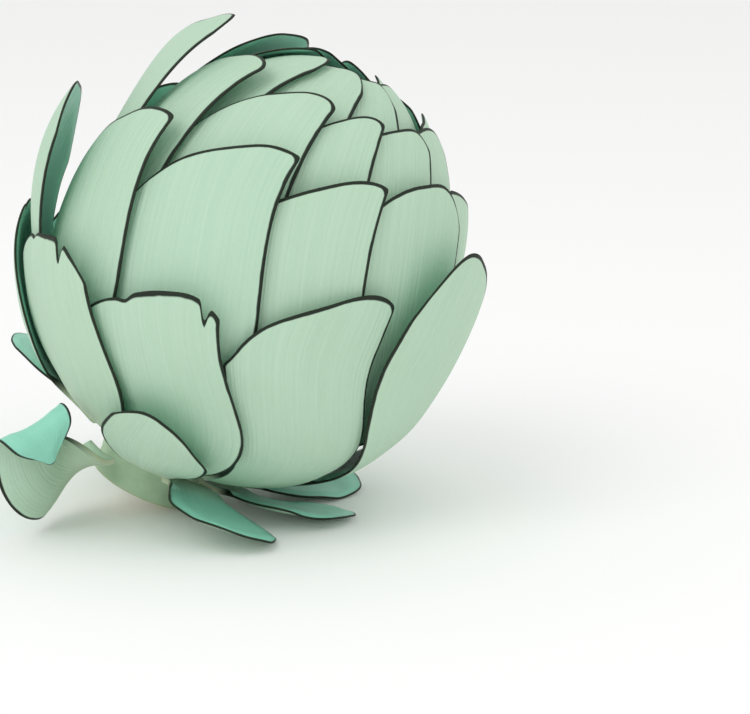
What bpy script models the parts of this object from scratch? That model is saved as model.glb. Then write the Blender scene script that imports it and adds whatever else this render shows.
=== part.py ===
"""A globe artichoke bud with a trimmed stem, leaning on a table.

The heart and stem are one grown piece. Rings of overlapping bracts (the green leaves) grow out of
the heart, one ring inside the next, and the choke fills the hollow above it. Everything is modelled
about the bud's own upright axis, and one empty leans the whole bud over until it rests on the table.

Azimuths are in degrees about the bud's axis: 0 faces -Y, and they grow towards +X.
"""

import math

import bmesh
import bpy
from mathutils import Matrix, Vector

MM = 0.001

# How the bud lies: its axis leans towards +X, on bracts pressed a little flat by the table.
LEAN = math.radians(27)
BUD_CENTRE_HEIGHT = 52.7 * MM

# Each ring is a surface of revolution: an ellipse from its root on the heart, out to its girth, and
# on up to the tips. Lengths are in millimetres. A bract's tip is cut aslant, and tips holds (azimuth,
# height of the tip's higher corner, and the share of the length by which the other corner is lower,
# negative where the left corner is the higher one). Sway turns a ring's bracts about the bud's axis:
# (degrees at the top, height where the turn starts, height where it ends).
RINGS = [
    {
        "name": "base_bract", "girth": 51.0, "waist": -12.0, "root": (14.4, -46.4), "crown": 60.0,
        "root_half_width": 4.4, "half_width": 12.5, "narrowing": 0.2, "flare": 0.8, "round": 0.22,
        "tips": [(-3, -20, -0.15), (31, -30, 0), (68, -29, 0), (106, -29, 0), (146, -30, 0), (190, -31, 0),
                 (236, -31, 0)],
    },
    {
        "name": "lower_bract", "girth": 49.0, "waist": -7.0, "root": (17.3, -43.0), "crown": 60.0,
        "root_half_width": 5.2, "half_width": 19.0, "narrowing": 0.1, "sway": (25, -38, 4), "flare": 1.2,
        "round": 0.07,
        "tips": [(-37, -1, 0.12), (1, 6, 0.2), (43.5, 22.6, 0.24), (87, 33, -0.1), (124, 24, -0.1),
                 (162, 16, -0.1), (200, 8, -0.1), (238, 2, 0), (279, -3, 0.12)],
    },
    {
        "name": "middle_bract", "girth": 45.0, "waist": -1.0, "root": (20.1, -39.3), "crown": 58.0,
        "root_half_width": 4.8, "half_width": 18.5, "narrowing": 0.12, "sway": (19, -24, 36), "flare": 1.6,
        "round": 0.06,
        "tips": [(-51, 33.3, 0.25), (-10, 38.6, 0.25), (20, 40.1, 0.26), (60, 44, 0.15), (96, 42, -0.1),
                 (131, 39, -0.1), (166, 36, -0.1), (202, 33, -0.1), (239, 31, 0.1), (276, 28, 0.12)],
    },
    {
        "name": "upper_bract", "girth": 40.5, "waist": 1.0, "root": (22.2, -35.2), "crown": 54.0,
        "root_half_width": 4.4, "half_width": 15.5, "narrowing": 0.25, "sway": (10, -10, 46), "flare": 1.4,
        "round": 0.09,
        "tips": [(-60, 48.8, 0.21), (-18, 48.5, 0.22), (7.5, 49.5, 0.3), (42, 48.4, 0.13), (74, 48, 0.05),
                 (106, 48, 0), (138, 48, 0), (170, 48, 0), (203, 48, 0), (238, 49, 0), (276, 51, 0.25)],
    },
    {
        "name": "crown_bract", "girth": 36.0, "waist": 1.0, "root": (23.7, -30.7), "crown": 52.0,
        "root_half_width": 6.0, "half_width": 13.5, "narrowing": 0.4, "flare": 0.6, "round": 0.1,
        "tips": [(azimuth, 51.0, 0) for azimuth in (-62, -18, 20, 62, 108, 153, 198, 246)],
    },
    {
        "name": "inner_bract", "girth": 31.3, "waist": 1.0, "root": (24.1, -26.2), "crown": 48.2,
        "root_half_width": 8.0, "half_width": 13.5, "narrowing": 0.5, "flare": 0.3, "round": 0.1,
        "tips": [(azimuth, 47.6, 0) for azimuth in (-40, 20, 80, 140, 200, 260)],
    },
    {
        "name": "heart_bract", "girth": 26.9, "waist": 1.0, "root": (23.0, -22.2), "crown": 44.9,
        "root_half_width": 10.0, "half_width": 14.0, "narrowing": 0.6, "flare": 0.0, "round": 0.1,
        "tips": [(azimuth, 44.7, 0) for azimuth in (-60, 30, 120, 210)],
    },
]

# Bracts that stand away from their ring: pairs of a share of the length and the degrees that the bract
# is bent outwards there.
LOOSE = {
    "base_bract_1": [(0.0, 0), (0.5, 6), (1.0, 6)],
    "base_bract_2": [(0.0, 0), (0.4, 26), (1.0, 26)],
    "base_bract_3": [(0.0, 0), (0.35, 10.8), (1.0, 10.8)],
    "base_bract_4": [(0.0, 0), (0.35, 10), (1.0, 10)],
    "base_bract_5": [(0.0, 0), (0.4, 25), (1.0, 25)],
    "base_bract_6": [(0.0, 0), (0.5, 12), (1.0, 14)],
    "base_bract_7": [(0.0, 0), (0.5, 22), (1.0, 34)],
    "lower_bract_4": [(0.5, 0), (1.0, 14)],
    "middle_bract_10": [(0.26, 0), (0.6, 18), (1.0, 2)],
    "upper_bract_10": [(0.6, 0), (1.0, 6)],
    "upper_bract_11": [(0.35, 0), (0.75, 13), (1.0, 4)],
}

# Bracts that are cupped more tightly than their ring towards the tip, by this share of its radius.
CUPPED = {"middle_bract_10": 0.45}

# Degrees that a bract turns about its own midline towards the tip, its right margin inwards.
TWISTED = {"upper_bract_11": 16}

# Rounder corners than the rest of the ring, for a pointed tip.
POINTED = {"lower_bract_4": 0.2, "middle_bract_4": 0.14, "middle_bract_10": 0.16, "upper_bract_11": 0.16}

# Bracts that lie over both neighbours; every other bract lies over the next one only.
TOPMOST = {"base_bract_2", "base_bract_5", "base_bract_7", "lower_bract_4", "middle_bract_10",
           "upper_bract_10", "upper_bract_11"}

# The basal bract that hangs open. It leaves the base beside the stem, rolls until its outer face looks to
# the front left, sweeps upwards and folds its tip over. Turns and widths are pairs of (share, value).
CURL = {
    "azimuth": -46, "root": (13.9, -49.0), "heading": -40, "length": 43.0, "rows": 24,
    "roll": [(0.0, 0), (0.35, 100), (0.4, 100), (0.66, 74)],
    "yaw": [(0.0, 0), (0.62, 100)],
    "bend": [(0.0, 0), (0.66, -6), (0.70, -6), (0.86, 158), (1.0, 172)],
    "hoop": [(0.0, 14.4), (0.5, 18.0), (1.0, 22.0)],
    "half_widths": [(0.0, 5.0), (0.45, 11.5), (0.78, 8.6), (1.0, 2.0)],
}

ROOT_FLESH = 1.6       # thickness of a bract where it leaves the heart
TIP_FLESH = 1.1        # and at its tip
LAP_GAP = 0.62         # clearance between a bract and the neighbour that it laps over

BLADE_COLUMNS = 6
BLADE_ROWS = 8
PATH_STEPS = 60

# The heart and stem in profile, radius and height in millimetres, from the top of the heart down.
HEART_PROFILE = [
    (0.0, -21.4), (12.0, -21.0), (18.6, -20.2), (20.6, -20.6), (20.9, -22.0), (21.8, -25.4), (21.5, -29.6),
    (20.3, -33.9), (18.3, -37.9), (16.0, -41.3), (13.3, -44.6), (12.2, -46.8), (11.6, -49.5), (11.9, -53.2),
    (11.0, -54.0), (0.0, -53.6),
]
CHOKE_PROFILE = [
    (0.0, 8.0), (5.0, 6.6), (10.5, 1.0), (15.0, -7.0), (17.8, -13.0), (18.6, -17.4), (17.8, -19.4),
    (0.0, -20.6),
]
TURNED_STEPS = 28

OUTER_GREEN = (0.49, 0.68, 0.53, 1.0)
INNER_GREEN = (0.62, 0.74, 0.52, 1.0)
STEM_GREEN = (0.42, 0.60, 0.36, 1.0)
CHOKE_CREAM = (0.72, 0.69, 0.55, 1.0)


def clear_scene():
    for obj in list(bpy.data.objects):
        bpy.data.objects.remove(obj, do_unlink=True)


def new_collection(name):
    collection = bpy.data.collections.new(name)
    bpy.context.scene.collection.children.link(collection)
    return collection


def material(name, colour, roughness):
    made = bpy.data.materials.new(name)
    made.use_nodes = True
    shader = made.node_tree.nodes["Principled BSDF"]
    shader.inputs["Base Color"].default_value = colour
    shader.inputs["Roughness"].default_value = roughness
    shader.inputs["Metallic"].default_value = 0.0
    return made


def smooth(x):
    """0 below 0, 1 above 1, and an even ease between them."""
    x = min(max(x, 0.0), 1.0)
    return x * x * (3 - 2 * x)


def ellipse_point(ring, angle):
    """Radius and height of the ring's surface, at an angle above its waist."""
    root_radius, root_height = ring["root"]
    root_sine = math.sqrt(1 - (root_radius / ring["girth"]) ** 2)
    depth = (ring["waist"] - root_height) / root_sine
    rise = ring["crown"] - ring["waist"] if angle > 0 else depth
    return Vector((ring["girth"] * math.cos(angle), ring["waist"] + rise * math.sin(angle)))


def bend_at(bends, share):
    """Degrees of outward bend at a share of the length, eased between the listed pairs."""
    if share <= bends[0][0]:
        return bends[0][1]
    for (start, low), (end, high) in zip(bends, bends[1:]):
        if share <= end:
            return low + (high - low) * smooth((share - start) / (end - start))
    return bends[-1][1]


def midline(ring, tip_height, bends, cup):
    """The bract's outer face from root to tip: place, heading, bend, and radius of its ring."""
    root_angle = -math.acos(ring["root"][0] / ring["girth"])
    depth = (ring["waist"] - ring["root"][1]) / math.sin(-root_angle)
    rise = ring["crown"] - ring["waist"] if tip_height > ring["waist"] else depth
    tip_angle = math.asin((tip_height - ring["waist"]) / rise)
    angle_step = (tip_angle - root_angle) / PATH_STEPS
    bed = [ellipse_point(ring, root_angle + angle_step * k) for k in range(PATH_STEPS + 1)]
    place = bed[0].copy()
    path = []
    for k in range(PATH_STEPS + 1):
        bend = math.radians(bend_at(bends, k / PATH_STEPS))
        step = bed[min(k + 1, PATH_STEPS)] - bed[min(k, PATH_STEPS - 1)]
        turned_step = Vector((
            step.x * math.cos(bend) + step.y * math.sin(bend),
            -step.x * math.sin(bend) + step.y * math.cos(bend),
        ))
        radius = bed[k].x * (1 - cup * smooth((k / PATH_STEPS - 0.35) / 0.5))
        path.append((place.copy(), turned_step.normalized(), bend, radius))
        place += turned_step
    return path


def at_share(path, share):
    """The path's values part of the way along, between its two nearest points."""
    x = min(max(share, 0.0), 1.0) * PATH_STEPS
    k = min(int(x), PATH_STEPS - 1)
    low, high, mix = path[k], path[k + 1], x - k
    return tuple(a + (b - a) * mix for a, b in zip(low, high))


def half_width(ring, share):
    grown = smooth(share / 0.62)
    narrowed = 1 - ring["narrowing"] * smooth((share - 0.6) / 0.4)
    return (ring["root_half_width"] + (ring["half_width"] - ring["root_half_width"]) * grown) * narrowed


def blade_point(name, ring, slant, path, across, along, laps):
    """A point of the bract's outer face, across from -1 to 1 and along from 0 to 1, in millimetres."""
    lower_side = (abs(slant) - slant * across) / 2
    corners = POINTED.get(name, ring["round"]) * abs(across) ** 3
    share = along * (1 - corners * along ** 2 - lower_side)
    place, heading, bend, radius = at_share(path, share)
    width = half_width(ring, share)
    half_angle = math.degrees(width / radius)
    turn, low, high = ring.get("sway", (0, 0, 1))
    swing = math.radians(across * half_angle - turn * smooth((place.y - low) / (high - low)))
    outward = Vector((0, -math.cos(bend), -math.sin(bend)))
    upward = Vector((0, -math.sin(bend), math.cos(bend)))
    side = Vector((1, 0, 0))
    twist = math.radians(TWISTED.get(name, 0) * smooth((share - 0.4) / 0.5))
    turned_side = side * math.cos(twist) - outward * math.sin(twist)
    outward = outward * math.cos(twist) + side * math.sin(twist)
    spot = Vector((0, -place.x, place.y))
    spot += turned_side * radius * math.sin(swing) - outward * radius * (1 - math.cos(swing))
    rim = outward * math.cos(swing) + turned_side * math.sin(swing)
    facing_out = heading.y * math.cos(bend) + heading.x * math.sin(bend)
    facing_up = heading.y * math.sin(bend) - heading.x * math.cos(bend)
    normal = (rim * facing_out + upward * facing_up).normalized()
    flesh = ROOT_FLESH + (TIP_FLESH - ROOT_FLESH) * share
    pitch, sign = laps[1] if across > 0 else laps[0]
    covering = min(max((2 * half_angle / pitch - 0.8) / 0.15, 0.0), 1.0)
    lap = sign * (flesh + LAP_GAP) * abs(across) * half_angle / pitch * covering
    flare = ring["flare"] * smooth((share - 0.6) / 0.4)
    return spot + normal * (lap + flare)


def curl_path():
    """The open bract's midline: place, heading, outer normal and side at even steps of its length."""
    angle = math.radians(CURL["heading"])
    ahead = Vector((0, -math.cos(angle), math.sin(angle)))
    outer = Vector((0, -math.sin(angle), -math.cos(angle)))
    side = Vector((1, 0, 0))
    place = Vector((0, -CURL["root"][0], CURL["root"][1]))
    path = []
    for k in range(PATH_STEPS + 1):
        path.append((place.copy(), ahead.copy(), outer.copy(), side.copy()))
        place += ahead * CURL["length"] / PATH_STEPS
        roll, yaw, bend = (
            math.radians(bend_at(CURL[turn], (k + 1) / PATH_STEPS) - bend_at(CURL[turn], k / PATH_STEPS))
            for turn in ("roll", "yaw", "bend")
        )
        turn = Matrix.Rotation(-yaw, 3, outer) @ Matrix.Rotation(bend, 3, side)
        turn = Matrix.Rotation(roll, 3, ahead) @ turn
        ahead, outer, side = (turn @ axis for axis in (ahead, outer, side))
    return path


def curl_point(path, across, along):
    share = along * (1 - 0.1 * abs(across) ** 3 * along ** 4)
    place, ahead, outer, side = at_share(path, share)
    radius = bend_at(CURL["hoop"], share)
    swing = across * bend_at(CURL["half_widths"], share) / radius
    return place + side * radius * math.sin(swing) - outer * radius * (1 - math.cos(swing))


def bract(name, ring, azimuth, tip_height, slant, laps, look, collection, bud):
    """One leaf: a grid bent onto its ring, thickened inwards, and thinner towards the tip."""
    if ring is None:
        path, rows = curl_path(), CURL["rows"]
    else:
        path, rows = midline(ring, tip_height, LOOSE.get(name, [(0.0, 0)]), CUPPED.get(name, 0)), BLADE_ROWS
    blade = bmesh.new()
    bmesh.ops.create_grid(blade, x_segments=BLADE_COLUMNS, y_segments=rows, size=1.0)
    heights = [(vert.co.y + 1) / 2 for vert in blade.verts]
    for vert, along in zip(blade.verts, heights):
        if ring is None:
            vert.co = curl_point(path, vert.co.x, along) * MM
        else:
            vert.co = blade_point(name, ring, slant, path, vert.co.x, along, laps) * MM
    mesh = bpy.data.meshes.new(name)
    blade.to_mesh(mesh)
    blade.free()
    mesh.materials.append(look)
    mesh.shade_smooth()
    obj = bpy.data.objects.new(name, mesh)
    collection.objects.link(obj)
    obj.parent = bud
    obj.rotation_euler.z = math.radians(azimuth)

    fleshy = obj.vertex_groups.new(name="fleshy")
    for index, along in enumerate(heights):
        fleshy.add([index], 1 - along, "REPLACE")
    wall = obj.modifiers.new("flesh", "SOLIDIFY")
    wall.thickness = ROOT_FLESH * MM
    wall.thickness_vertex_group = TIP_FLESH / ROOT_FLESH
    wall.vertex_group = fleshy.name
    wall.offset = -1
    wall.use_even_offset = True
    return obj


def ring_of_bracts(ring, look, collection, bud):
    """Each side of a bract lies over or under its neighbour, by the angle between their midlines."""
    count = len(ring["tips"])
    names = [f"{ring['name']}_{index + 1}" for index in range(count)]
    azimuths = [tip[0] for tip in ring["tips"]]
    made = []
    for index, (azimuth, tip_height, slant) in enumerate(ring["tips"]):
        following = (index + 1) % count
        before = (azimuth - azimuths[index - 1]) % 360 or 360
        after = (azimuths[following] - azimuth) % 360 or 360
        laps = (
            (before, 1 if names[index] in TOPMOST else -1),
            (after, -1 if names[following] in TOPMOST else 1),
        )
        made.append(bract(names[index], ring, azimuth, tip_height, slant, laps, look, collection, bud))
    return made


def turned(name, profile, look, collection, bud):
    """A piece turned about the bud's axis, from a profile that runs down its outer side."""
    mesh = bpy.data.meshes.new(name)
    points = [(radius * MM, 0, height * MM) for radius, height in profile]
    mesh.from_pydata(points, [(k, k + 1) for k in range(len(points) - 1)], [])
    mesh.materials.append(look)
    obj = bpy.data.objects.new(name, mesh)
    collection.objects.link(obj)
    obj.parent = bud
    spin = obj.modifiers.new("spin", "SCREW")
    spin.steps = TURNED_STEPS
    spin.render_steps = TURNED_STEPS
    spin.use_merge_vertices = True
    spin.merge_threshold = 0.00005
    spin.use_smooth_shade = True
    return obj


def world_points(obj, graph):
    evaluated = obj.evaluated_get(graph)
    mesh = evaluated.to_mesh()
    points = [evaluated.matrix_world @ vert.co for vert in mesh.vertices]
    evaluated.to_mesh_clear()
    return points


def centre_over_origin(parts, bud):
    """Slides the bud along the table until the middle of its footprint is over the origin."""
    bpy.context.view_layer.update()
    graph = bpy.context.evaluated_depsgraph_get()
    points = [point for part in parts for point in world_points(part, graph)]
    for axis in (0, 1):
        low = min(point[axis] for point in points)
        high = max(point[axis] for point in points)
        bud.location[axis] -= (low + high) / 2


def press_on_table(parts, helpers):
    """Cuts a flat spot at the table top on each piece that would otherwise sink into it."""
    bpy.ops.mesh.primitive_cube_add(size=1.0, location=(0, 0, -0.05))
    table = bpy.context.object
    table.name = "table_cutter"
    table.scale = (0.4, 0.4, 0.1)
    table.hide_render = True
    table.display_type = "WIRE"
    for collection in list(table.users_collection):
        collection.objects.unlink(table)
    helpers.objects.link(table)
    bpy.context.view_layer.update()
    graph = bpy.context.evaluated_depsgraph_get()
    sinking = [part for part in parts if min(point.z for point in world_points(part, graph)) < 0]
    for part in sinking:
        spot = part.modifiers.new("flat_spot", "BOOLEAN")
        spot.operation = "DIFFERENCE"
        spot.solver = "EXACT"
        spot.object = table


def main():
    clear_scene()
    artichoke = new_collection("artichoke")
    helpers = new_collection("helpers")
    bud = bpy.data.objects.new("bud_axis", None)
    artichoke.objects.link(bud)
    bud.rotation_euler = (0, LEAN, 0)
    bud.location = (0, 0, BUD_CENTRE_HEIGHT)

    leaf = material("bract_green", OUTER_GREEN, 0.55)
    pale_leaf = material("inner_bract_green", INNER_GREEN, 0.5)
    stem = material("stem_green", STEM_GREEN, 0.6)
    down = material("choke_down", CHOKE_CREAM, 0.9)

    parts = [bract("curled_bract_1", None, CURL["azimuth"], 0, 0, None, leaf, artichoke, bud)]
    for ring in RINGS:
        look = pale_leaf if ring["name"] == "heart_bract" else leaf
        parts += ring_of_bracts(ring, look, artichoke, bud)
    parts.append(turned("heart_and_stem", HEART_PROFILE, stem, artichoke, bud))
    parts.append(turned("choke", CHOKE_PROFILE, down, artichoke, bud))
    centre_over_origin(parts, bud)
    press_on_table(parts, helpers)


main()
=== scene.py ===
import math

import bmesh
import bpy
from mathutils import Matrix, Vector, noise


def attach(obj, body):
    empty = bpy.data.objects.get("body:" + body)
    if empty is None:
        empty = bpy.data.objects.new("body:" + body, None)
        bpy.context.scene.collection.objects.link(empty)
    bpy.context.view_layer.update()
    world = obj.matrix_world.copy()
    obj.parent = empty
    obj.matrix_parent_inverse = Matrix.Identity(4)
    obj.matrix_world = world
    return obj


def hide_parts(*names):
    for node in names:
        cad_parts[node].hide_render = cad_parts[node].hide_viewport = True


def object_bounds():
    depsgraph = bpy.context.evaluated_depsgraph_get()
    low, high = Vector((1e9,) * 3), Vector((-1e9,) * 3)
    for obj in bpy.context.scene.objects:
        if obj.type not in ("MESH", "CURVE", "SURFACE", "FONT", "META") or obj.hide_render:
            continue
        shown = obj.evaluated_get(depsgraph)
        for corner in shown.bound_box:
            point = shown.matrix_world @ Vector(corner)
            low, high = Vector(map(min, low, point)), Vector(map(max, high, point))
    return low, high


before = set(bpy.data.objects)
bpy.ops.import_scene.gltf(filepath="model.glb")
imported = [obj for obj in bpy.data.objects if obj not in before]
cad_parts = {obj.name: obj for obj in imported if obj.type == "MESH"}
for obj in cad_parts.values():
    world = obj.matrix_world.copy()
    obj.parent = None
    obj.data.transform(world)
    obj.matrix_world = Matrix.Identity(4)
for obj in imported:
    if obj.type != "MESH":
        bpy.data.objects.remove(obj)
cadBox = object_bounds()
print("artichoke: packed model loaded,", len(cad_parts), "pieces")

mm = 0.001

# How the bud lies on the table: its axis leans towards +X about the middle of the head (in mm)
bud = {"leanDegrees": 27.0, "middle": (1.048, 0.610, 52.7)}
budLean = Matrix.Rotation(math.radians(bud["leanDegrees"]), 4, "Y")
budToTable = Matrix.Translation(Vector(bud["middle"])) @ budLean

# The rings of bracts, from the stem to the heart, in mm and degrees. A ring follows an ellipse: girth
# is its greatest radius, waist the height of that, root its (radius, height) at the stem, and crown
# the height where it would close. Azimuth 0 faces the camera, and azimuths grow to the right.
# tips: (azimuth, height of the tip's higher corner, share of the length by which the other corner is
# lower, negative where the left corner is the higher). sway: (degrees that the ring turns, height
# where the turn starts, height where it ends). flare: how far the tips stand off. round: how far the
# corners of the tips are cut back, as a share of the length
ringPlans = [
    {
        "name": "base_bract", "girth": 51.0, "waist": -12.0, "root": (14.4, -46.4), "crown": 60.0,
        "rootHalfWidth": 4.4, "halfWidth": 12.5, "narrowing": 0.2, "flare": 0.8, "round": 0.22,
        "tips": [(-3, -20, -0.15), (31, -30, 0), (68, -29, 0), (106, -29, 0), (146, -30, 0),
                 (190, -31, 0), (236, -31, 0)],
    },
    {
        "name": "lower_bract", "girth": 49.0, "waist": -7.0, "root": (17.3, -43.0), "crown": 60.0,
        "rootHalfWidth": 6.6, "halfWidth": 19.0, "narrowing": 0.1, "flare": 1.2, "round": 0.07,
        "sway": (25, -38, 4),
        "tips": [(-37, -1, 0.12), (1, 6, 0.2), (43.5, 22.6, 0.24), (87, 33, -0.1), (124, 24, -0.1),
                 (162, 16, -0.1), (200, 8, -0.1), (238, 2, 0), (279, -3, 0.12)],
    },
    {
        "name": "middle_bract", "girth": 45.0, "waist": -1.0, "root": (20.1, -39.3), "crown": 58.0,
        "rootHalfWidth": 4.8, "halfWidth": 18.5, "narrowing": 0.12, "flare": 1.6, "round": 0.06,
        "sway": (19, -24, 36),
        "tips": [(-51, 33.3, 0.25), (-10, 38.6, 0.25), (20, 40.1, 0.26), (60, 44, 0.15),
                 (96, 42, -0.1), (131, 39, -0.1), (166, 36, -0.1), (202, 33, -0.1), (239, 31, 0.1),
                 (276, 28, 0.12)],
    },
    {
        "name": "upper_bract", "girth": 40.5, "waist": 1.0, "root": (22.2, -35.2), "crown": 54.0,
        "rootHalfWidth": 4.4, "halfWidth": 15.5, "narrowing": 0.25, "flare": 1.4, "round": 0.09,
        "sway": (10, -10, 46),
        "tips": [(-60, 48.8, 0.21), (-18, 48.5, 0.22), (7.5, 49.5, 0.3), (42, 48.4, 0.13),
                 (74, 48, 0.05), (106, 48, 0), (138, 48, 0), (170, 48, 0), (203, 48, 0), (238, 49, 0),
                 (276, 51, 0.25)],
    },
    {
        "name": "crown_bract", "girth": 36.0, "waist": 1.0, "root": (23.7, -30.7), "crown": 52.0,
        "rootHalfWidth": 6.0, "halfWidth": 13.5, "narrowing": 0.4, "flare": 0.6, "round": 0.1,
        "tips": [(azimuth, 51.0, 0) for azimuth in (-62, -18, 20, 62, 108, 153, 198, 246)],
    },
    {
        "name": "inner_bract", "girth": 31.3, "waist": 1.0, "root": (24.1, -26.2), "crown": 48.2,
        "rootHalfWidth": 8.0, "halfWidth": 13.5, "narrowing": 0.5, "flare": 0.3, "round": 0.1,
        "tips": [(azimuth, 47.6, 0) for azimuth in (-40, 20, 80, 140, 200, 260)],
    },
    {
        "name": "heart_bract", "girth": 26.9, "waist": 1.0, "root": (23.0, -22.2), "crown": 44.9,
        "rootHalfWidth": 10.0, "halfWidth": 14.0, "narrowing": 0.6, "flare": 0.0, "round": 0.1,
        "tips": [(azimuth, 44.7, 0) for azimuth in (-60, 30, 120, 210)],
    },
]

# Bracts that stand away from their ring: (share of the length, degrees bent outwards there)
looseBends = {
    "base_bract_1": [(0.0, 0), (0.5, 6), (1.0, 6)],
    "base_bract_2": [(0.0, 0), (0.4, 26), (1.0, 26)],
    "base_bract_3": [(0.0, 0), (0.35, 10.8), (1.0, 10.8)],
    "base_bract_4": [(0.0, 0), (0.35, 10), (1.0, 10)],
    "base_bract_5": [(0.0, 0), (0.4, 25), (1.0, 25)],
    "base_bract_6": [(0.0, 0), (0.5, 12), (1.0, 14)],
    "base_bract_7": [(0.0, 0), (0.5, 22), (1.0, 34)],
    "lower_bract_4": [(0.5, 0), (1.0, 14)],
    "middle_bract_10": [(0.26, 0), (0.6, 18), (1.0, 2)],
    "upper_bract_10": [(0.6, 0), (1.0, 6)],
    "upper_bract_11": [(0.35, 0), (0.75, 13), (1.0, 4)],
}

# Cupped more tightly than the ring towards the tip, by this share of its radius
cupped = {"middle_bract_10": 0.45}

# Degrees that a bract turns about its own midline towards the tip, its right margin inwards
twisted = {"upper_bract_11": 16}

# These lie over both neighbours; every other bract lies over the next one only
topmost = {"base_bract_2", "base_bract_5", "base_bract_7", "lower_bract_4", "middle_bract_10",
           "upper_bract_10", "upper_bract_11"}

# Tears in a tip: (place across from -1 to 1, depth and width in mm)
tipTears = {
    "lower_bract_1": [(0.42, 5.0, 1.3), (-0.35, 1.2, 1.6)],
    "lower_bract_2": [(0.8, 3.2, 1.1), (-0.3, 0.7, 2.5)],
    "lower_bract_9": [(0.55, 4.2, 1.2), (-0.1, 0.9, 2.0)],
    "lower_bract_7": [(0.3, 2.2, 1.3)],
    "middle_bract_5": [(-0.5, 2.0, 1.2)],
    "middle_bract_8": [(0.1, 2.6, 1.2)],
    "upper_bract_7": [(0.4, 1.8, 1.2)],
    "base_bract_6": [(0.2, 1.6, 1.0)],
}

# Some tips are more pointed than the rest of their ring
pointedTips = {"middle_bract_10": 0.16, "middle_bract_4": 0.14, "lower_bract_9": 0.12,
               "lower_bract_1": 0.1, "lower_bract_4": 0.2, "upper_bract_11": 0.16}

blade = {
    "columns": 22, "tornColumns": 44, "rows": 30, "curledRows": 44, "pathSteps": 80,
    "crowdAcross": 0.45, "crowdAlong": 0.4,     # how much the rows crowd towards the margin
    "rootFlesh": 1.55, "tipFlesh": 1.05, "lapGap": 0.62,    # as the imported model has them, in mm
    "marginFlesh": 0.45, "marginTaper": 3.5,    # thickness at the edge, and how far in it thins
    "ripple": 0.16, "marginWave": 0.17, "waveReach": 4.0,
    "keel": 0.17, "keelWidth": 0.16,            # a low rib down the middle of the outer face
    "tipUneven": 0.006, "widthUneven": 0.02,    # shares of the length and of the width
    "tearFade": 10,                             # the higher, the nearer a tear stays to the tip
    "boxGap": 0.1,
}


def ease(x):
    x = min(max(x, 0.0), 1.0)
    return x * x * (3 - 2 * x)


def bendAt(bends, share):
    if share <= bends[0][0]:
        return bends[0][1]
    for (start, low), (end, high) in zip(bends, bends[1:]):
        if share <= end:
            return low + (high - low) * ease((share - start) / (end - start))
    return bends[-1][1]


def crowd(x, share):
    # Even steps from -1 to 1 move closer together towards both ends
    return (1 - share) * x + share * math.sin(x * math.pi / 2)


def midribPath(ring, tipHeight, bends, cup):
    # Place, heading, bend and ring radius at even steps from root to tip, and the blade's length
    rootAngle = -math.acos(ring["root"][0] / ring["girth"])
    depth = (ring["waist"] - ring["root"][1]) / math.sin(-rootAngle)
    rise = ring["crown"] - ring["waist"] if tipHeight > ring["waist"] else depth
    tipAngle = math.asin((tipHeight - ring["waist"]) / rise)
    steps = blade["pathSteps"]
    bed = []
    for k in range(steps + 1):
        angle = rootAngle + (tipAngle - rootAngle) * k / steps
        height = (ring["crown"] - ring["waist"] if angle > 0 else depth) * math.sin(angle)
        bed.append(Vector((ring["girth"] * math.cos(angle), ring["waist"] + height)))
    place, length, path = bed[0].copy(), 0.0, []
    for k in range(steps + 1):
        bend = math.radians(bendAt(bends, k / steps))
        step = bed[min(k + 1, steps)] - bed[min(k, steps - 1)]
        turned = Vector((step.x * math.cos(bend) + step.y * math.sin(bend),
                         step.y * math.cos(bend) - step.x * math.sin(bend)))
        radius = bed[k].x * (1 - cup * ease((k / steps - 0.35) / 0.5))
        path.append((place.copy(), turned.normalized(), bend, radius))
        place += turned
        length += step.length
    return path, length


def alongPath(path, share):
    x = min(max(share, 0.0), 1.0) * (len(path) - 1)
    k = min(int(x), len(path) - 2)
    return tuple(a + (b - a) * (x - k) for a, b in zip(path[k], path[k + 1]))


def halfWidthAt(ring, share):
    grown = ease(share / 0.62)
    narrowed = 1 - ring["narrowing"] * ease((share - 0.6) / 0.4)
    return (ring["rootHalfWidth"] + (ring["halfWidth"] - ring["rootHalfWidth"]) * grown) * narrowed


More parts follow.
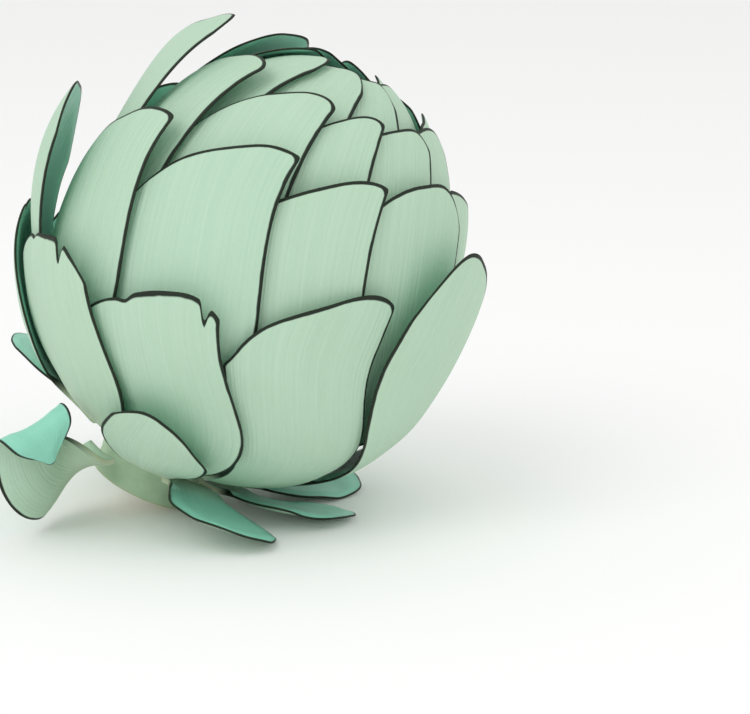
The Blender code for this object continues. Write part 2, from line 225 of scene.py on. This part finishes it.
def bladeSpot(name, ring, slant, path, length, across, along, laps, seed):
    # One point of the outer face, in the bract's own upright frame, and its distance from the margin
    tipRound = pointedTips.get(name, ring["round"])
    reach = 1 - tipRound * abs(across) ** 3 - (abs(slant) - slant * across) / 2
    tear = 0.0
    for spot, depth, width in tipTears.get(name, []):
        away = abs(across - spot) * ring["halfWidth"] / width
        tear += depth / length * max(1 - away, 0.0)
    drop = tear * along ** blade["tearFade"]
    reach -= blade["tipUneven"] * noise.noise(Vector((across * 2.2, seed * 7.3, 1.0)))
    share = along * (reach - drop)
    place, heading, bend, radius = alongPath(path, share)
    width = halfWidthAt(ring, share)
    uneven = noise.noise(Vector((share * 4.0, seed * 3.1, math.copysign(2.0, across))))
    width *= 1 + blade["widthUneven"] * uneven * ease(share * 3)
    halfAngle = math.degrees(width / radius)
    turn, low, high = ring.get("sway", (0, 0, 1))
    swing = math.radians(across * halfAngle - turn * ease((place.y - low) / (high - low)))
    outward = Vector((0, -math.cos(bend), -math.sin(bend)))
    upward = Vector((0, -math.sin(bend), math.cos(bend)))
    side = Vector((1, 0, 0))
    twist = math.radians(twisted.get(name, 0) * ease((share - 0.4) / 0.5))
    turnedSide = side * math.cos(twist) - outward * math.sin(twist)
    outward = outward * math.cos(twist) + side * math.sin(twist)
    spot = Vector((0, -place.x, place.y))
    spot += turnedSide * radius * math.sin(swing) - outward * radius * (1 - math.cos(swing))
    rim = outward * math.cos(swing) + turnedSide * math.sin(swing)
    facingOut = heading.y * math.cos(bend) + heading.x * math.sin(bend)
    facingUp = heading.y * math.sin(bend) - heading.x * math.cos(bend)
    normal = (rim * facingOut + upward * facingUp).normalized()
    flesh = blade["rootFlesh"] + (blade["tipFlesh"] - blade["rootFlesh"]) * share
    # A blade lifts over its neighbour, or goes under it, only where it is wide enough to reach it
    pitch, sign = laps[1] if across > 0 else laps[0]
    covering = min(max((2 * halfAngle / pitch - 0.8) / 0.15, 0.0), 1.0)
    lift = sign * (flesh + blade["lapGap"]) * abs(across) * halfAngle / pitch * covering
    lift += ring["flare"] * ease((share - 0.6) / 0.4)
    lift += blade["ripple"] * noise.noise(Vector((across * 1.6, share * 3.0, seed * 5.0)))
    keel = ease(share / 0.3) * (1 - ease((share - 0.75) / 0.25))
    lift += blade["keel"] * math.exp(-(across / blade["keelWidth"]) ** 2) * keel
    marginMm = min((1 - abs(across)) * width, (reach - tear - share) * length)
    wave = noise.noise(Vector((across * 2.5, share * 5.0, seed * 9.0)))
    lift += blade["marginWave"] * wave * ease(1 - marginMm / blade["waveReach"]) * ease(share * 2)
    return spot + normal * lift, marginMm


# The one basal bract that hangs open: it leaves the base, rolls to show its outer face to the left
# front, sweeps upwards and folds its tip over. Each list is (share of the length, degrees or mm)
curl = {
    "name": "curled_bract_1", "azimuth": -46, "root": (13.9, -49.0), "heading": -40.0,
    "length": 43.0, "round": 0.1, "seed": 3.3,
    "roll": [(0.0, 0), (0.35, 100), (0.4, 100), (0.66, 74)],
    "yaw": [(0.0, 0), (0.62, 100)],
    "bend": [(0.0, 0), (0.66, -6), (0.70, -6), (0.86, 158), (1.0, 172)],
    "hoop": [(0.0, 14.4), (0.5, 18.0), (1.0, 22.0)],
    "halfWidths": [(0.0, 5.0), (0.45, 11.5), (0.78, 8.6), (1.0, 2.0)],
}


def curlPath():
    side = Vector((1, 0, 0))
    angle = math.radians(curl["heading"])
    ahead = Vector((0, -math.cos(angle), math.sin(angle)))
    outer = Vector((0, -math.sin(angle), -math.cos(angle)))
    place = Vector((0, -curl["root"][0], curl["root"][1]))
    steps = blade["pathSteps"]
    path = []
    for k in range(steps + 1):
        path.append((place.copy(), ahead.copy(), outer.copy(), side.copy()))
        place += ahead * curl["length"] / steps
        now, after = k / steps, (k + 1) / steps
        roll, yaw, bend = [math.radians(bendAt(curl[turn], after) - bendAt(curl[turn], now))
                           for turn in ("roll", "yaw", "bend")]
        turn = Matrix.Rotation(-yaw, 3, outer) @ Matrix.Rotation(bend, 3, side)
        turn = Matrix.Rotation(roll, 3, ahead) @ turn
        ahead, outer, side = [(turn @ axis).normalized() for axis in (ahead, outer, side)]
    return path


def curlSpot(path, across, along, seed):
    share = along * (1 - curl["round"] * abs(across) ** 3 * along ** 4)
    place, ahead, outer, side = alongPath(path, share)
    width = bendAt(curl["halfWidths"], share)
    radius = bendAt(curl["hoop"], share)
    swing = across * width / radius
    spot = place + side * radius * math.sin(swing) - outer * radius * (1 - math.cos(swing))
    normal = outer * math.cos(swing) + side * math.sin(swing)
    lift = blade["ripple"] * noise.noise(Vector((across * 1.6, share * 3.0, seed * 5.0)))
    return spot + normal * lift, min((1 - abs(across)) * width, (1 - along) * curl["length"])


def keepInBox(point):
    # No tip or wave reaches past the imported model, or below the table
    gap = blade["boxGap"] * mm
    sides = zip(point, *cadBox)
    return Vector([min(max(value, low + gap), high - gap) for value, low, high in sides])


def addBract(name, ring, azimuth, tipHeight, slant, laps, looks, seed):
    curled = name == curl["name"]
    if curled:
        path, length = curlPath(), curl["length"]
    else:
        bends = looseBends.get(name, [(0.0, 0)])
        path, length = midribPath(ring, tipHeight, bends, cupped.get(name, 0))
    columns = blade["tornColumns"] if name in tipTears else blade["columns"]
    rows = blade["curledRows"] if curled else blade["rows"]
    leaf = bmesh.new()
    bmesh.ops.create_grid(leaf, x_segments=columns, y_segments=rows, size=1.0)
    marginLayer = leaf.verts.layers.float.new("marginMm")
    toneLayer = leaf.verts.layers.float.new("tone")
    uvLayer = leaf.loops.layers.uv.new("blade")
    tone = noise.noise(Vector((seed * 11.7, 4.0, 2.0))) * 0.5 + 0.5
    placing = budToTable @ Matrix.Rotation(math.radians(azimuth), 4, "Z")
    grid = {}
    weights = []
    for vert in leaf.verts:
        across = crowd(vert.co.x, blade["crowdAcross"])
        along = crowd((vert.co.y + 1) / 2, blade["crowdAlong"])
        grid[vert] = (across * 0.5 + 0.5, along)
        if curled:
            spot, marginMm = curlSpot(path, across, along, seed)
        else:
            spot, marginMm = bladeSpot(name, ring, slant, path, length, across, along, laps, seed)
        vert.co = keepInBox((placing @ spot) * mm)
        vert[marginLayer] = marginMm
        vert[toneLayer] = tone
        body = 1 - (1 - blade["tipFlesh"] / blade["rootFlesh"]) * along
        edge = blade["marginFlesh"] / blade["rootFlesh"]
        thinned = edge + (body - edge) * ease(marginMm / blade["marginTaper"])
        weights.append(thinned if along > 0.3 else body)
    for face in leaf.faces:
        face.smooth = True
        for loop in face.loops:
            loop[uvLayer].uv = grid[loop.vert]
    mesh = bpy.data.meshes.new(name + "_leaf")
    leaf.to_mesh(mesh)
    leaf.free()
    for look in looks:
        mesh.materials.append(look)
    piece = bpy.data.objects.new(name + "_leaf", mesh)
    bpy.context.scene.collection.objects.link(piece)
    fleshy = piece.vertex_groups.new(name="fleshy")
    for index, weight in enumerate(weights):
        fleshy.add([index], weight, "REPLACE")
    wall = piece.modifiers.new("flesh", "SOLIDIFY")
    wall.thickness = blade["rootFlesh"] * mm
    wall.vertex_group = "fleshy"
    wall.thickness_vertex_group = 0.0
    wall.offset = -1
    wall.use_even_offset = False
    wall.material_offset = 1
    wall.material_offset_rim = 2
    soft = piece.modifiers.new("soft", "SUBSURF")
    soft.levels = soft.render_levels = 1
    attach(piece, "root")
    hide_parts(name)


def addNode(tree, kind, **values):
    node = tree.nodes.new(kind)
    for key, value in values.items():
        setattr(node, key, value)
    return node


def addNoise(tree, place, scale, detail=2.0):
    # scale is a number or a socket
    cloud = addNode(tree, "ShaderNodeTexNoise")
    cloud.inputs["Detail"].default_value = detail
    if isinstance(scale, float):
        cloud.inputs["Scale"].default_value = scale
    else:
        tree.links.new(scale, cloud.inputs["Scale"])
    tree.links.new(place, cloud.inputs["Vector"])
    return cloud


def addRange(tree, value, before, after, smooth=True):
    # Turns before[0]..before[1] into after[0]..after[1]; the ends of before may be sockets
    kind = "SMOOTHSTEP" if smooth else "LINEAR"
    span = addNode(tree, "ShaderNodeMapRange", interpolation_type=kind)
    for label, limit in zip(("From Min", "From Max", "To Min", "To Max"), (*before, *after)):
        if isinstance(limit, float):
            span.inputs[label].default_value = limit
        else:
            tree.links.new(limit, span.inputs[label])
    tree.links.new(value, span.inputs["Value"])
    return span.outputs["Result"]


def addBump(tree, shader, height, strength, depth):
    bump = addNode(tree, "ShaderNodeBump")
    bump.inputs["Strength"].default_value = strength
    bump.inputs["Distance"].default_value = depth
    tree.links.new(height, bump.inputs["Height"])
    tree.links.new(bump.outputs["Normal"], shader.inputs["Normal"])


def newLook(name):
    look = bpy.data.materials.new(name)
    look.use_nodes = True
    return look, look.node_tree, look.node_tree.nodes["Principled BSDF"]


def newGroup(name, inputs, outputs):
    group = bpy.data.node_groups.new(name, "ShaderNodeTree")
    for label, kind, value in inputs:
        socket = group.interface.new_socket(name=label, in_out="INPUT", socket_type=kind)
        if value is not None:
            socket.default_value = value
    for label, kind in outputs:
        group.interface.new_socket(name=label, in_out="OUTPUT", socket_type=kind)
    return group, group.nodes.new("NodeGroupInput"), group.nodes.new("NodeGroupOutput")


def streakGroup():
    # Fine veins that run from root to tip, and a broad waxy mottling across them
    group, given, made = newGroup(
        "bladeVeins",
        [("Across", "NodeSocketFloat", 60.0), ("Along", "NodeSocketFloat", 2.0),
         ("Mottle", "NodeSocketFloat", 60.0)],
        [("Veins", "NodeSocketFloat"), ("Mottling", "NodeSocketFloat"), ("Fine", "NodeSocketFloat")],
    )
    uv = addNode(group, "ShaderNodeUVMap", uv_map="blade")
    stretch = addNode(group, "ShaderNodeCombineXYZ")
    group.links.new(given.outputs["Across"], stretch.inputs["X"])
    group.links.new(given.outputs["Along"], stretch.inputs["Y"])
    scaled = addNode(group, "ShaderNodeVectorMath", operation="MULTIPLY")
    group.links.new(uv.outputs["UV"], scaled.inputs[0])
    group.links.new(stretch.outputs["Vector"], scaled.inputs[1])
    veins = addNoise(group, scaled.outputs["Vector"], 1.0, 3.0)
    veins.inputs["Roughness"].default_value = 0.55
    sharp = addRange(group, veins.outputs["Fac"], (0.35, 0.65), (0.0, 1.0), smooth=False)
    group.links.new(sharp, made.inputs["Veins"])
    place = addNode(group, "ShaderNodeTexCoord").outputs["Object"]
    mottle = addNoise(group, place, given.outputs["Mottle"], 4.0)
    group.links.new(mottle.outputs["Fac"], made.inputs["Mottling"])
    fine = addNoise(group, place, 900.0)
    group.links.new(fine.outputs["Fac"], made.inputs["Fine"])
    return group


def marginGroup():
    # A thin dark line along the margin, with a slightly uneven inner side
    group, given, made = newGroup(
        "marginLine", [("Width", "NodeSocketFloat", 0.75), ("Softness", "NodeSocketFloat", 0.25)],
        [("Line", "NodeSocketFloat"), ("Root", "NodeSocketFloat"), ("Ripe", "NodeSocketFloat")],
    )
    margin = addNode(group, "ShaderNodeAttribute", attribute_name="marginMm")
    wobble = addNoise(group, addNode(group, "ShaderNodeTexCoord").outputs["Object"], 220.0)
    uneven = addNode(group, "ShaderNodeMath", operation="MULTIPLY_ADD")
    uneven.inputs[1].default_value = 0.5
    group.links.new(wobble.outputs["Fac"], uneven.inputs[0])
    group.links.new(margin.outputs["Fac"], uneven.inputs[2])
    reach = addNode(group, "ShaderNodeMath", operation="ADD")
    group.links.new(given.outputs["Width"], reach.inputs[0])
    group.links.new(given.outputs["Softness"], reach.inputs[1])
    line = addRange(group, uneven.outputs["Value"], (given.outputs["Width"], reach.outputs["Value"]),
                    (1.0, 0.0))
    split = addNode(group, "ShaderNodeSeparateXYZ")
    group.links.new(addNode(group, "ShaderNodeUVMap", uv_map="blade").outputs["UV"],
                    split.inputs["Vector"])
    along = split.outputs["Y"]
    ripe = addRange(group, along, (0.14, 0.3), (0.0, 1.0))      # no line near the root
    root = addRange(group, along, (0.05, 0.4), (1.0, 0.0), smooth=False)
    faded = addNode(group, "ShaderNodeMath", operation="MULTIPLY")
    group.links.new(line, faded.inputs[0])
    group.links.new(ripe, faded.inputs[1])
    group.links.new(faded.outputs["Value"], made.inputs["Line"])
    group.links.new(root, made.inputs["Root"])
    group.links.new(ripe, made.inputs["Ripe"])
    return group


def mixColours(tree, factor, first, second, amount=1.0):
    # first and second are colours or colour sockets; factor is a value socket
    scale = addNode(tree, "ShaderNodeMath", operation="MULTIPLY")
    scale.inputs[1].default_value = amount
    tree.links.new(factor, scale.inputs[0])
    mix = addNode(tree, "ShaderNodeMix", data_type="RGBA")
    tree.links.new(scale.outputs["Value"], mix.inputs["Factor"])
    for socket, colour in ((mix.inputs[6], first), (mix.inputs[7], second)):
        if isinstance(colour, tuple):
            socket.default_value = colour
        else:
            tree.links.new(colour, socket)
    return mix.outputs[2]


def bractMaterial(name, colours, veins, margin, values):
    look, tree, shader = newLook(name)
    streaks = addNode(tree, "ShaderNodeGroup", node_tree=veins)
    streaks.inputs["Across"].default_value = values["veinsAcross"]
    streaks.inputs["Along"].default_value = values["veinsAlong"]
    edge = addNode(tree, "ShaderNodeGroup", node_tree=margin)
    edge.inputs["Width"].default_value = values["lineMm"]
    edge.inputs["Softness"].default_value = values["lineSoftMm"]
    tone = addNode(tree, "ShaderNodeAttribute", attribute_name="tone")
    mottling = streaks.outputs["Mottling"]
    colour = mixColours(tree, tone.outputs["Fac"], colours["cool"], colours["warm"])
    colour = mixColours(tree, mottling, colour, colours["bloom"], values["bloom"])
    colour = mixColours(tree, streaks.outputs["Veins"], colour, colours["vein"], values["veinTint"])
    colour = mixColours(tree, edge.outputs["Root"], colour, colours["root"], values["rootTint"])
    colour = mixColours(tree, edge.outputs["Line"], colour, colours["line"])
    tree.links.new(colour, shader.inputs["Base Color"])
    rough = addRange(tree, mottling, (0.0, 1.0), (values["rough"] - 0.08, values["rough"] + 0.1),
                     smooth=False)
    tree.links.new(rough, shader.inputs["Roughness"])
    shader.inputs["Specular IOR Level"].default_value = values["gloss"]
    height = addNode(tree, "ShaderNodeMath", operation="MULTIPLY_ADD")
    height.inputs[1].default_value = values["fineShare"]
    tree.links.new(streaks.outputs["Fine"], height.inputs[0])
    tree.links.new(streaks.outputs["Veins"], height.inputs[2])
    addBump(tree, shader, height.outputs["Value"], values["bump"], values["bumpDepth"])
    return look


# Colours are scene-linear
leafColours = {
    "cool": (0.43, 0.625, 0.475, 1), "warm": (0.47, 0.63, 0.46, 1), "bloom": (0.56, 0.74, 0.62, 1),
    "vein": (0.32, 0.53, 0.36, 1), "root": (0.62, 0.70, 0.50, 1), "line": (0.012, 0.020, 0.012, 1),
}
insideColours = {
    "cool": (0.25, 0.66, 0.52, 1), "warm": (0.29, 0.68, 0.51, 1), "bloom": (0.44, 0.76, 0.65, 1),
    "vein": (0.20, 0.56, 0.43, 1), "root": (0.72, 0.78, 0.60, 1), "line": (0.012, 0.020, 0.012, 1),
}
leafFinish = {
    "veinsAcross": 46.0, "veinsAlong": 1.4, "lineMm": 0.85, "lineSoftMm": 0.3, "bloom": 0.35,
    "veinTint": 0.22, "rootTint": 0.55, "rough": 0.52, "gloss": 0.22, "bump": 0.35,
    "bumpDepth": 0.0003, "fineShare": 0.35,
}
insideFinish = {
    "veinsAcross": 38.0, "veinsAlong": 1.2, "lineMm": 0.55, "lineSoftMm": 0.3, "bloom": 0.3,
    "veinTint": 0.25, "rootTint": 0.6, "rough": 0.38, "gloss": 0.35, "bump": 0.25,
    "bumpDepth": 0.0003, "fineShare": 0.35,
}
marginFinish = {
    "dark": (0.010, 0.017, 0.010, 1), "pale": (0.035, 0.045, 0.025, 1), "patches": 160.0,
    "rough": 0.6, "gloss": 0.1,
}

veins, margin = streakGroup(), marginGroup()
leafSkin = bractMaterial("leafSkin", leafColours, veins, margin, leafFinish)
leafInside = bractMaterial("leafInside", insideColours, veins, margin, insideFinish)


def marginMaterial():
    look, tree, shader = newLook("leafMargin")
    place = addNode(tree, "ShaderNodeTexCoord").outputs["Object"]
    patch = addNoise(tree, place, marginFinish["patches"])
    edge = addNode(tree, "ShaderNodeGroup", node_tree=margin)
    colour = mixColours(tree, patch.outputs["Fac"], marginFinish["dark"], marginFinish["pale"])
    colour = mixColours(tree, edge.outputs["Ripe"], leafColours["root"], colour)
    tree.links.new(colour, shader.inputs["Base Color"])
    shader.inputs["Roughness"].default_value = marginFinish["rough"]
    shader.inputs["Specular IOR Level"].default_value = marginFinish["gloss"]
    return look


leafMargin = marginMaterial()
looks = (leafSkin, leafInside, leafMargin)
print("artichoke: leaf finishes made")

for ring in ringPlans:
    count = len(ring["tips"])
    names = [ring["name"] + "_" + str(index + 1) for index in range(count)]
    azimuths = [tip[0] for tip in ring["tips"]]
    for index, (azimuth, tipHeight, slant) in enumerate(ring["tips"]):
        following = (index + 1) % count
        before = (azimuth - azimuths[index - 1]) % 360 or 360
        after = (azimuths[following] - azimuth) % 360 or 360
        laps = ((before, 1 if names[index] in topmost else -1),
                (after, -1 if names[following] in topmost else 1))
        seed = ring["girth"] * 0.37 + index * 1.91 + 0.13
        addBract(names[index], ring, azimuth, tipHeight, slant, laps, looks, seed)
    print("artichoke:", ring["name"], "ring of", count)

addBract(curl["name"], None, curl["azimuth"], 0, 0, None, looks, curl["seed"])
print("artichoke: curled basal bract")

# The heart and the trimmed stem: (radius, height) from the top of the heart to the cut end, in mm
stem = {
    "profile": [(0.0, -21.4), (12.0, -21.0), (18.6, -20.2), (20.6, -20.6), (20.9, -22.0),
                (21.8, -25.4), (21.5, -29.6), (20.3, -33.9), (18.3, -37.9), (16.0, -41.3),
                (13.3, -44.6), (12.2, -46.8), (11.6, -49.5), (11.6, -52.2), (11.75, -53.2),
                (11.5, -53.8), (10.8, -54.0), (8.0, -53.9), (4.0, -53.75), (0.0, -53.7)],
    "steps": 96, "ribs": 14, "ribDepth": 0.28, "ribsFrom": -53.4, "ribsTo": -43.0,
    "cutHeight": -53.5, "cutRadius": 11.7,
    "skin": ((0.34, 0.52, 0.33, 1), (0.52, 0.68, 0.48, 1)),
    "pith": (0.72, 0.74, 0.56, 1), "rind": (0.50, 0.60, 0.36, 1), "rindFrom": 6.0, "rindTo": 10.6,
    "bruise": (0.42, 0.36, 0.20, 1), "bruising": 0.35,
    "fibres": 380.0, "rough": 0.6, "bump": 0.3, "bumpDepth": 0.0003,
}


def addStem():
    turning = bmesh.new()
    profile = [turning.verts.new((0, -radius, height)) for radius, height in stem["profile"]]
    edges = [turning.edges.new(pair) for pair in zip(profile, profile[1:])]
    bmesh.ops.spin(turning, geom=profile + edges, cent=(0, 0, 0), axis=(0, 0, 1), angle=2 * math.pi,
                   steps=stem["steps"], use_merge=True)
    bmesh.ops.remove_doubles(turning, verts=turning.verts, dist=0.001)
    bmesh.ops.recalc_face_normals(turning, faces=turning.faces)
    cutLayer = turning.verts.layers.float.new("cutFace")
    radiusLayer = turning.verts.layers.float.new("radiusMm")
    for vert in turning.verts:
        radius = math.hypot(vert.co.x, vert.co.y)
        around = math.atan2(vert.co.x, -vert.co.y)
        vert[radiusLayer] = radius
        cut = vert.co.z < stem["cutHeight"] and radius < stem["cutRadius"]
        vert[cutLayer] = 1.0 if cut else 0.0
        if stem["ribsFrom"] < vert.co.z < stem["ribsTo"]:
            uneven = noise.noise(Vector((around * 3, vert.co.z * 0.2, 3)))
            inset = stem["ribDepth"] * (0.5 - 0.3 * math.cos(around * stem["ribs"]) - 0.2 * uneven)
            vert.co.x *= 1 - inset / radius
            vert.co.y *= 1 - inset / radius
    for vert in turning.verts:
        vert.co = (budToTable @ vert.co) * mm
        vert.co.z = max(vert.co.z, 0.0)
    for face in turning.faces:
        face.smooth = True
    mesh = bpy.data.meshes.new("trimmedStem")
    turning.to_mesh(mesh)
    turning.free()
    piece = bpy.data.objects.new("trimmedStem", mesh)
    bpy.context.scene.collection.objects.link(piece)
    mesh.materials.append(stemMaterial())
    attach(piece, "root")
    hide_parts("heart_and_stem")


def stemMaterial():
    look, tree, shader = newLook("stemSkin")
    place = addNode(tree, "ShaderNodeTexCoord").outputs["Object"]
    fibre = addNoise(tree, place, stem["fibres"], 4.0).outputs["Fac"]
    cut = addNode(tree, "ShaderNodeAttribute", attribute_name="cutFace")
    radius = addNode(tree, "ShaderNodeAttribute", attribute_name="radiusMm")
    skin = mixColours(tree, fibre, *stem["skin"])
    rings = addRange(tree, radius.outputs["Fac"], (stem["rindFrom"], stem["rindTo"]), (0.0, 1.0))
    flesh = mixColours(tree, rings, stem["pith"], stem["rind"])
    flesh = mixColours(tree, fibre, flesh, stem["bruise"], stem["bruising"])
    colour = mixColours(tree, cut.outputs["Fac"], skin, flesh)
    tree.links.new(colour, shader.inputs["Base Color"])
    shader.inputs["Roughness"].default_value = stem["rough"]
    addBump(tree, shader, fibre, stem["bump"], stem["bumpDepth"])
    return look


addStem()

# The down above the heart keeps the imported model's shape
down = {
    "dark": (0.62, 0.58, 0.42, 1), "pale": (0.80, 0.78, 0.66, 1), "hairs": 1400.0,
    "rough": 0.9, "bump": 0.6, "bumpDepth": 0.0004,
}


def chokeMaterial():
    look, tree, shader = newLook("chokeDown")
    place = addNode(tree, "ShaderNodeTexCoord").outputs["Object"]
    hairs = addNoise(tree, place, down["hairs"], 3.0).outputs["Fac"]
    tree.links.new(mixColours(tree, hairs, down["dark"], down["pale"]), shader.inputs["Base Color"])
    shader.inputs["Roughness"].default_value = down["rough"]
    addBump(tree, shader, hairs, down["bump"], down["bumpDepth"])
    return look


choke = bpy.data.objects["choke"]
chokeDown = chokeMaterial()
for slotIndex in range(len(choke.material_slots)):
    choke.material_slots[slotIndex].material = chokeDown
print("artichoke: stem and choke finished")

# Pale floor, a soft sky and two large soft lights
studio = {
    "floorSize": 6.0, "floorTone": (0.95, 0.95, 0.945, 1), "floorRough": 0.9,
    "sky": (1.0, 1.0, 1.0, 1), "skyStrength": 0.9, "lightSize": 0.7, "lightAim": (0, 0, 0.05),
    "lights": [("keyLight", (-0.5, -0.6, 0.9), 3.0), ("fillLight", (0.7, -0.5, 0.5), 0.6)],
}


def makeStudio():
    sheet = bmesh.new()
    bmesh.ops.create_grid(sheet, x_segments=1, y_segments=1, size=studio["floorSize"] / 2)
    mesh = bpy.data.meshes.new("paleFloor")
    sheet.to_mesh(mesh)
    sheet.free()
    floor = bpy.data.objects.new("paleFloor", mesh)
    bpy.context.scene.collection.objects.link(floor)
    look, _, shader = newLook("paleFloor")
    shader.inputs["Base Color"].default_value = studio["floorTone"]
    shader.inputs["Roughness"].default_value = studio["floorRough"]
    mesh.materials.append(look)
    world = bpy.data.worlds.new("softSky")
    world.use_nodes = True
    background = world.node_tree.nodes["Background"]
    background.inputs["Color"].default_value = studio["sky"]
    background.inputs["Strength"].default_value = studio["skyStrength"]
    bpy.context.scene.world = world
    for name, place, power in studio["lights"]:
        lamp = bpy.data.lights.new(name, "AREA")
        lamp.energy = power
        lamp.size = studio["lightSize"]
        holder = bpy.data.objects.new(name, lamp)
        holder.location = place
        shine = Vector(studio["lightAim"]) - Vector(place)
        holder.rotation_euler = shine.to_track_quat("-Z", "Y").to_euler()
        bpy.context.scene.collection.objects.link(holder)
    bpy.context.scene.view_settings.view_transform = "Standard"
    print("artichoke: floor, sky and lights set")


makeStudio()

# The camera looks a little down across the table with a long lens, and its aim, in mm from the bud's
# middle, keeps the bud left of and above the middle of the picture
view = {
    "elevation": 13.0, "lens": 120.0, "sensor": 36.0, "frameWidthMm": 167.0, "clipStart": 0.01,
    "right": 28.95, "down": 18.3,
}


def makeCamera():
    lens = bpy.data.cameras.new("camera")
    lens.lens = view["lens"]
    lens.sensor_width = view["sensor"]
    lens.clip_start = view["clipStart"]
    camera = bpy.data.objects.new("camera", lens)
    tilt = math.radians(view["elevation"])
    towards = Vector((0, -math.cos(tilt), math.sin(tilt)))
    imageUp = Vector((0, math.sin(tilt), math.cos(tilt)))
    aim = Vector(bud["middle"]) + Vector((view["right"], 0, 0)) - imageUp * view["down"]
    distance = view["lens"] * view["frameWidthMm"] / view["sensor"]
    camera.location = (aim + towards * distance) * mm
    camera.rotation_euler = (-towards).to_track_quat("-Z", "Y").to_euler()
    bpy.context.scene.collection.objects.link(camera)
    bpy.context.scene.camera = camera


makeCamera()
